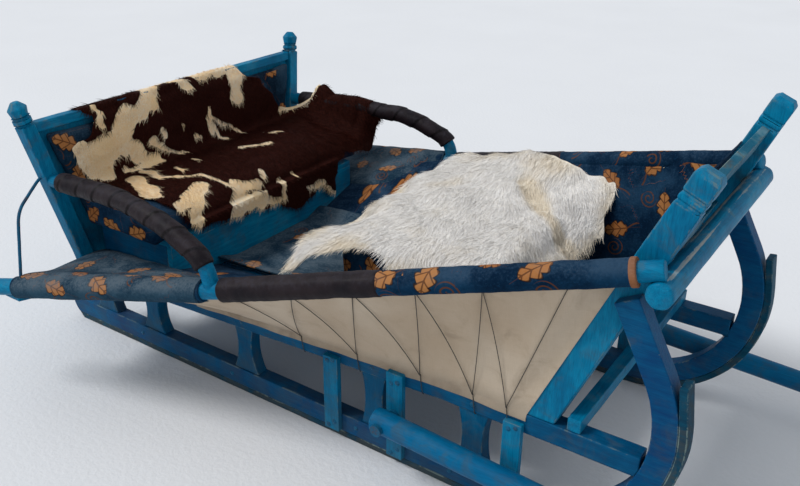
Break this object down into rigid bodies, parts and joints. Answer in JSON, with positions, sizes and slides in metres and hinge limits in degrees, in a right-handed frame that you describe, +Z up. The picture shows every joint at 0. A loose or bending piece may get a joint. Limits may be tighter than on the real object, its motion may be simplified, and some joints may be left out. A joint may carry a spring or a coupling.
{
  "type": "horse drawn sleigh",
  "caption": "Open one-horse sleigh with curled wooden runners, painted frame, cloth and canvas body, rear seat with arm rests, driver's cushion and a pair of pivoting shafts.",
  "frame": {"origin": "middle of the overall box at the ground, half way between the runner tails and the shaft tips", "axes": "+X is the direction of travel, along the runners and shafts; +Y is the sleigh's left; +Z is up"},
  "size_m": [4.4224, 1.6508, 1.0122],
  "materials": {
    "blue_paint": "worn gloss paint",
    "worn_sole": "worn paint",
    "leaf_fabric": "velour with leaves",
    "brown_leather": "satin",
    "tan_canvas": "matte",
    "white_fleece": "long wool",
    "cow_hair": "short hair",
    "blue_iron": "painted"
  },
  "bodies": {
    "sleigh": {"arm_cover_left": "brown_leather", "arm_cover_right": "brown_leather", "arm_rest_left": "blue_paint", "arm_rest_right": "blue_paint", "back_boards": "blue_paint", "back_pad": "leaf_fabric", "back_rail": "blue_paint", "canvas_left": "tan_canvas", "canvas_right": "tan_canvas", "cow_hide": "cow_hair", "cross_beams": "blue_paint", "driver_cushion": "leaf_fabric", "floor_boards": "blue_paint", "floor_cloth": "leaf_fabric", "front_boards": "blue_paint", "front_lining": "leaf_fabric", "front_log": "blue_paint", "front_post_left": "blue_paint", "front_post_right": "blue_paint", "pivot_bolt_left": "blue_iron", "pivot_bolt_right": "blue_iron", "plates_left": "blue_paint", "plates_right": "blue_paint", "pole_cover_left": "leaf_fabric", "pole_cover_right": "leaf_fabric", "pole_grip_left": "brown_leather", "pole_grip_right": "brown_leather", "posts_left": "blue_paint", "posts_right": "blue_paint", "rail_left": "blue_paint", "rail_right": "blue_paint", "rear_post_left": "blue_paint", "rear_post_right": "blue_paint", "rear_sill": "blue_paint", "runner_left": "blue_paint", "runner_right": "blue_paint", "seat_board": "blue_paint", "seat_front_board": "blue_paint", "seat_pad": "leaf_fabric", "seat_sides": "blue_paint", "sheepskin": "white_fleece", "side_lining_left": "leaf_fabric", "side_lining_right": "leaf_fabric", "side_pole_left": "blue_paint", "side_pole_right": "blue_paint", "sole_left": "worn_sole", "sole_right": "worn_sole", "stay_left": "blue_iron", "stay_right": "blue_iron", "wing_left": "leaf_fabric", "wing_right": "leaf_fabric"},
    "right_shaft": {"shaft_right": "blue_paint"},
    "left_shaft": {"shaft_left": "blue_paint"}
  },
  "joints": [
    {"name": "right_shaft_pivot", "type": "hinge", "parent": "sleigh", "child": "right_shaft", "pos_m": [-0.78565, -0.462, 0.172], "axis": [0, -1, 0], "range_deg": [0, 39]},
    {"name": "left_shaft_pivot", "type": "hinge", "parent": "sleigh", "child": "left_shaft", "pos_m": [-0.78565, 0.462, 0.172], "axis": [0, -1, 0], "range_deg": [0, 39]}
  ]
}
